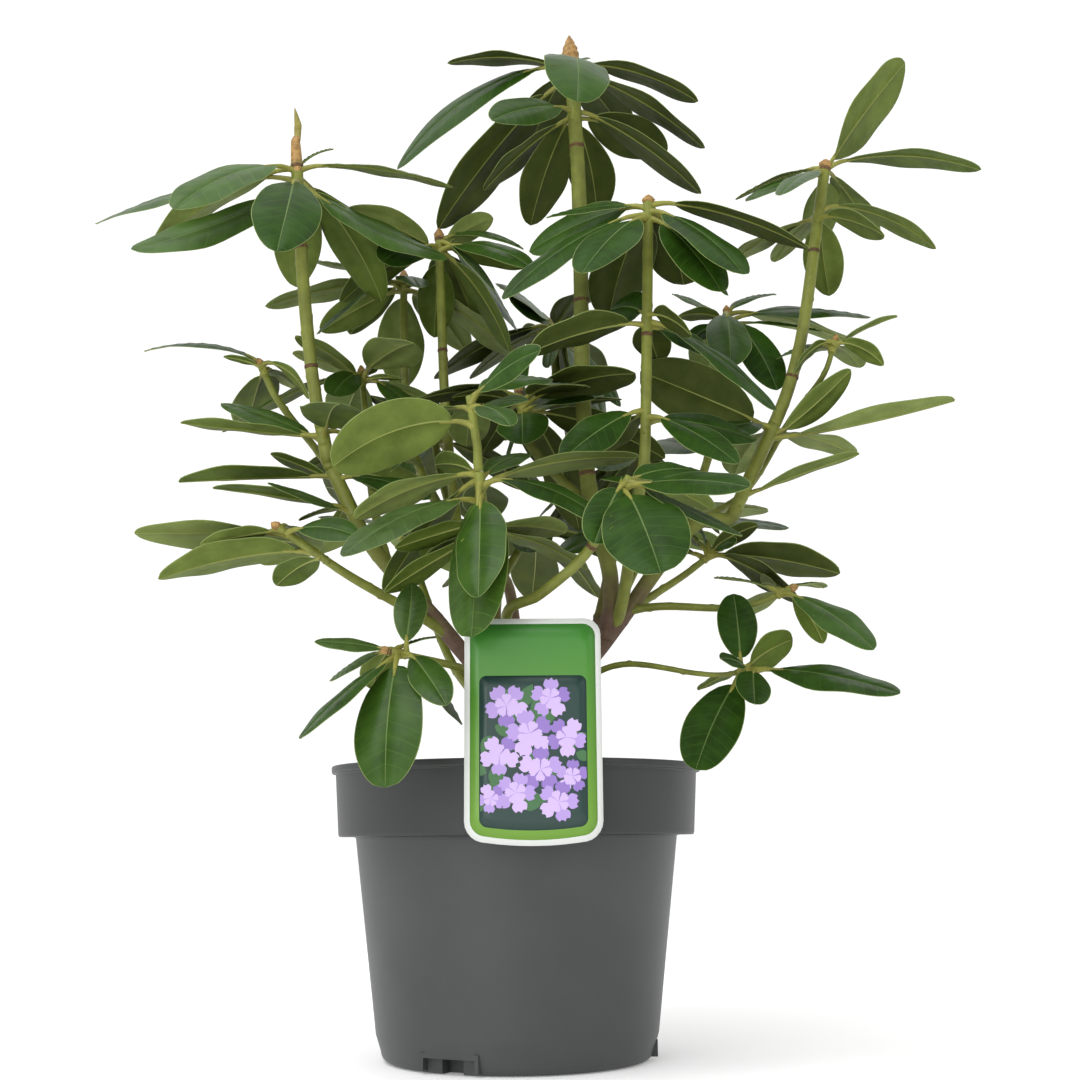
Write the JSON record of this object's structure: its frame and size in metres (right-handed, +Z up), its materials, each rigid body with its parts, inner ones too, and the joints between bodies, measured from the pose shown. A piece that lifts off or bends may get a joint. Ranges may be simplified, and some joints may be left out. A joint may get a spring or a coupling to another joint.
{
  "type": "potted rhododendron",
  "caption": "Large-leaved evergreen rhododendron shrub with whorls of long leaves on upright stems, growing in a round nursery pot with a wide collar and a plant label hooked over its rim.",
  "frame": {"origin": "the middle of the pot's flat underside", "axes": "+Z up along the pot, -Y towards the front, where the label hangs, +X to the right as seen from the front"},
  "size_m": [0.6096, 0.4322, 0.6848],
  "materials": {
    "centre_tip_bough": "dull bark",
    "centre_tip_leaves": "leathery, slightly shiny",
    "core_bough": "dull bark",
    "core_leaves": "leathery, slightly shiny",
    "front_fork_bough": "dull bark",
    "front_fork_leaves": "leathery, slightly shiny",
    "front_low_left_bough": "dull bark",
    "front_low_left_leaves": "leathery, slightly shiny",
    "front_low_right_bough": "dull bark",
    "front_low_right_leaves": "leathery, slightly shiny",
    "front_right_bough": "dull bark",
    "front_right_leaves": "leathery, slightly shiny",
    "front_tip_bough": "dull bark",
    "front_tip_leaves": "leathery, slightly shiny",
    "inner_left_bough": "dull bark",
    "inner_left_leaves": "leathery, slightly shiny",
    "inner_right_bough": "dull bark",
    "inner_right_leaves": "leathery, slightly shiny",
    "left_back_bough": "dull bark",
    "left_back_leaves": "leathery, slightly shiny",
    "left_fork_bough": "dull bark",
    "left_fork_leaves": "leathery, slightly shiny",
    "left_knee_bough": "dull bark",
    "left_knee_leaves": "leathery, slightly shiny",
    "left_low_bough": "dull bark",
    "left_low_leaves": "leathery, slightly shiny",
    "left_rear_bough": "dull bark",
    "left_rear_leaves": "leathery, slightly shiny",
    "left_tip_bough": "dull bark",
    "left_tip_leaves": "leathery, slightly shiny",
    "left_twig_bough": "dull bark",
    "left_twig_leaves": "leathery, slightly shiny",
    "label_card": "printed card, satin",
    "pot_plastic": "moulded polypropylene, matte",
    "potting_soil": "loose and fibrous",
    "rear_centre_bough": "dull bark",
    "rear_centre_leaves": "leathery, slightly shiny",
    "rear_left_bough": "dull bark",
    "rear_left_leaves": "leathery, slightly shiny",
    "rear_low_bough": "dull bark",
    "rear_low_leaves": "leathery, slightly shiny",
    "rear_low_left_bough": "dull bark",
    "rear_low_left_leaves": "leathery, slightly shiny",
    "rear_low_right_bough": "dull bark",
    "rear_low_right_leaves": "leathery, slightly shiny",
    "rear_right_bough": "dull bark",
    "rear_right_leaves": "leathery, slightly shiny",
    "right_back_bough": "dull bark",
    "right_back_leaves": "leathery, slightly shiny",
    "right_fork_bough": "dull bark",
    "right_fork_leaves": "leathery, slightly shiny",
    "right_low_bough": "dull bark",
    "right_low_leaves": "leathery, slightly shiny",
    "right_mid_bough": "dull bark",
    "right_mid_leaves": "leathery, slightly shiny",
    "right_tip_bough": "dull bark",
    "right_tip_leaves": "leathery, slightly shiny",
    "right_twig_bough": "dull bark",
    "right_twig_leaves": "leathery, slightly shiny",
    "trunk": "dull bark"
  },
  "bodies": {
    "root": {"centre_tip_bough": "centre_tip_bough", "centre_tip_leaves": "centre_tip_leaves", "core_bough": "core_bough", "core_leaves": "core_leaves", "front_fork_bough": "front_fork_bough", "front_fork_leaves": "front_fork_leaves", "front_low_left_bough": "front_low_left_bough", "front_low_left_leaves": "front_low_left_leaves", "front_low_right_bough": "front_low_right_bough", "front_low_right_leaves": "front_low_right_leaves", "front_right_bough": "front_right_bough", "front_right_leaves": "front_right_leaves", "front_tip_bough": "front_tip_bough", "front_tip_leaves": "front_tip_leaves", "inner_left_bough": "inner_left_bough", "inner_left_leaves": "inner_left_leaves", "inner_right_bough": "inner_right_bough", "inner_right_leaves": "inner_right_leaves", "left_back_bough": "left_back_bough", "left_back_leaves": "left_back_leaves", "left_fork_bough": "left_fork_bough", "left_fork_leaves": "left_fork_leaves", "left_knee_bough": "left_knee_bough", "left_knee_leaves": "left_knee_leaves", "left_low_bough": "left_low_bough", "left_low_leaves": "left_low_leaves", "left_rear_bough": "left_rear_bough", "left_rear_leaves": "left_rear_leaves", "left_tip_bough": "left_tip_bough", "left_tip_leaves": "left_tip_leaves", "left_twig_bough": "left_twig_bough", "left_twig_leaves": "left_twig_leaves", "plant_label": "label_card", "pot": "pot_plastic", "potting_soil": "potting_soil", "rear_centre_bough": "rear_centre_bough", "rear_centre_leaves": "rear_centre_leaves", "rear_left_bough": "rear_left_bough", "rear_left_leaves": "rear_left_leaves", "rear_low_bough": "rear_low_bough", "rear_low_leaves": "rear_low_leaves", "rear_low_left_bough": "rear_low_left_bough", "rear_low_left_leaves": "rear_low_left_leaves", "rear_low_right_bough": "rear_low_right_bough", "rear_low_right_leaves": "rear_low_right_leaves", "rear_right_bough": "rear_right_bough", "rear_right_leaves": "rear_right_leaves", "right_back_bough": "right_back_bough", "right_back_leaves": "right_back_leaves", "right_fork_bough": "right_fork_bough", "right_fork_leaves": "right_fork_leaves", "right_low_bough": "right_low_bough", "right_low_leaves": "right_low_leaves", "right_mid_bough": "right_mid_bough", "right_mid_leaves": "right_mid_leaves", "right_tip_bough": "right_tip_bough", "right_tip_leaves": "right_tip_leaves", "right_twig_bough": "right_twig_bough", "right_twig_leaves": "right_twig_leaves", "trunk": "trunk"}
  },
  "joints": []
}
